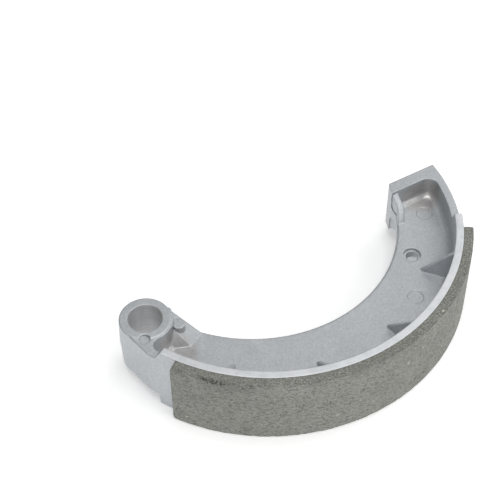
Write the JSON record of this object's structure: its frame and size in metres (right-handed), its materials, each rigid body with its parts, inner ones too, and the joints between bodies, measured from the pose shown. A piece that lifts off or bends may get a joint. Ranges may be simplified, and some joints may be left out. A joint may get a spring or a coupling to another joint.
{
  "type": "drum brake shoe",
  "caption": "Curved cast shoe with a pivot boss at one end, a flat cam face at the other and a bonded friction lining along its back.",
  "frame": {"origin": "on the axis of the pivot bore, halfway across the shoe's width", "axes": "+Z along the pivot bore and the drum's axis, away from the face with the bead along its inner edge; +X from the pivot towards the cam end, along the brake's centre line; the lining faces -Y"},
  "size_m": [0.1398, 0.071, 0.03],
  "materials": {
    "casting": "as cast, with machined rim edges, end face and bore",
    "lining": "moulded friction compound, ground on its rubbing face"
  },
  "bodies": {
    "root": {"shoe_casting": "casting", "friction_lining": "lining"}
  },
  "joints": []
}
